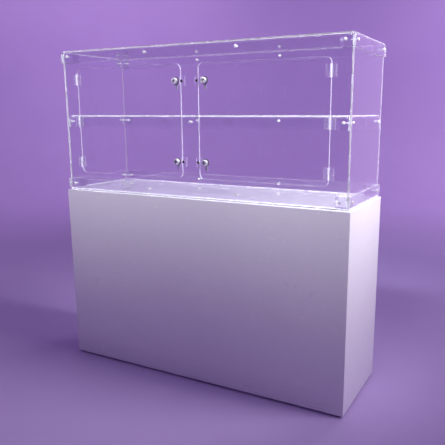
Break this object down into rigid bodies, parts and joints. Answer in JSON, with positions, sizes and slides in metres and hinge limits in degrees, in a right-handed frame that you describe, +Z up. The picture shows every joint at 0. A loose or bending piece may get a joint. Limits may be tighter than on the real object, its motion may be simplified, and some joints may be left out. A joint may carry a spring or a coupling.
{
  "type": "display plinth",
  "caption": "Waist-high white plinth topped by a clear acrylic showcase with a shelf tray, hinged front doors and turn locks; sheets are bent and screwed to corner cleats.",
  "frame": {"origin": "on the floor under the middle of the plinth's footprint", "axes": "+Z up; -Y is the front with the doors; +X is to the right of a person facing the doors"},
  "size_m": [1.3, 0.41, 1.366],
  "materials": {
    "white_lacquer": "satin",
    "foot_plastic": "matte",
    "clear_acrylic": "polished",
    "hinge_acrylic": "gloss",
    "pin_steel": "satin",
    "lock_chrome": "polished"
  },
  "bodies": {
    "cabinet": {"plinth_front_board": "white_lacquer", "plinth_back_board": "white_lacquer", "plinth_left_board": "white_lacquer", "plinth_right_board": "white_lacquer", "plinth_deck": "white_lacquer", "plinth_foot_front_left": "foot_plastic", "plinth_foot_front_right": "foot_plastic", "plinth_foot_rear_left": "foot_plastic", "plinth_foot_rear_right": "foot_plastic", "case_floor_tray": "clear_acrylic", "case_shelf_tray": "clear_acrylic", "case_lid_tray": "clear_acrylic", "case_front_frame": "clear_acrylic", "case_back_panel": "clear_acrylic", "case_left_panel": "clear_acrylic", "case_right_panel": "clear_acrylic", "floor_cleat_front_left": "clear_acrylic", "floor_cleat_front_right": "clear_acrylic", "floor_cleat_rear_left": "clear_acrylic", "floor_cleat_rear_right": "clear_acrylic", "shelf_cleat_front_left": "clear_acrylic", "shelf_cleat_front_right": "clear_acrylic", "shelf_cleat_rear_left": "clear_acrylic", "shelf_cleat_rear_right": "clear_acrylic", "lid_cleat_front_left": "clear_acrylic", "lid_cleat_front_right": "clear_acrylic", "lid_cleat_rear_left": "clear_acrylic", "lid_cleat_rear_right": "clear_acrylic", "left_lower_hinge_frame_leaf": "hinge_acrylic", "left_lower_hinge_pin": "pin_steel", "left_middle_hinge_frame_leaf": "hinge_acrylic", "left_middle_hinge_pin": "pin_steel", "left_upper_hinge_frame_leaf": "hinge_acrylic", "left_upper_hinge_pin": "pin_steel", "left_lower_lock_keeper": "clear_acrylic", "left_upper_lock_keeper": "clear_acrylic", "right_lower_hinge_frame_leaf": "hinge_acrylic", "right_lower_hinge_pin": "pin_steel", "right_middle_hinge_frame_leaf": "hinge_acrylic", "right_middle_hinge_pin": "pin_steel", "right_upper_hinge_frame_leaf": "hinge_acrylic", "right_upper_hinge_pin": "pin_steel", "right_lower_lock_keeper": "clear_acrylic", "right_upper_lock_keeper": "clear_acrylic"},
    "left_door": {"left_door": "clear_acrylic", "left_lower_hinge_door_leaf": "hinge_acrylic", "left_middle_hinge_door_leaf": "hinge_acrylic", "left_upper_hinge_door_leaf": "hinge_acrylic", "left_lower_lock_barrel": "lock_chrome", "left_upper_lock_barrel": "lock_chrome"},
    "left_lower_lock": {"left_lower_lock_knob": "lock_chrome"},
    "left_upper_lock": {"left_upper_lock_knob": "lock_chrome"},
    "right_door": {"right_door": "clear_acrylic", "right_lower_hinge_door_leaf": "hinge_acrylic", "right_middle_hinge_door_leaf": "hinge_acrylic", "right_upper_hinge_door_leaf": "hinge_acrylic", "right_lower_lock_barrel": "lock_chrome", "right_upper_lock_barrel": "lock_chrome"},
    "right_lower_lock": {"right_lower_lock_knob": "lock_chrome"},
    "right_upper_lock": {"right_upper_lock_knob": "lock_chrome"}
  },
  "joints": [
    {"name": "left_door_swing", "type": "hinge", "parent": "cabinet", "child": "left_door", "pos_m": [-0.564, -0.1972, 1.0742], "axis": [0, 0, -1], "range_deg": [0, 170]},
    {"name": "left_lower_lock_turn", "type": "hinge", "parent": "left_door", "child": "left_lower_lock", "pos_m": [-0.065, -0.1927, 0.9202], "axis": [0, -1, 0], "range_deg": [0, 90]},
    {"name": "left_upper_lock_turn", "type": "hinge", "parent": "left_door", "child": "left_upper_lock", "pos_m": [-0.065, -0.1927, 1.2282], "axis": [0, -1, 0], "range_deg": [0, 90]},
    {"name": "right_door_swing", "type": "hinge", "parent": "cabinet", "child": "right_door", "pos_m": [0.564, -0.1972, 1.0742], "axis": [0, 0, 1], "range_deg": [0, 170]},
    {"name": "right_lower_lock_turn", "type": "hinge", "parent": "right_door", "child": "right_lower_lock", "pos_m": [0.065, -0.1927, 0.9202], "axis": [0, 1, 0], "range_deg": [0, 90]},
    {"name": "right_upper_lock_turn", "type": "hinge", "parent": "right_door", "child": "right_upper_lock", "pos_m": [0.065, -0.1927, 1.2282], "axis": [0, 1, 0], "range_deg": [0, 90]}
  ]
}
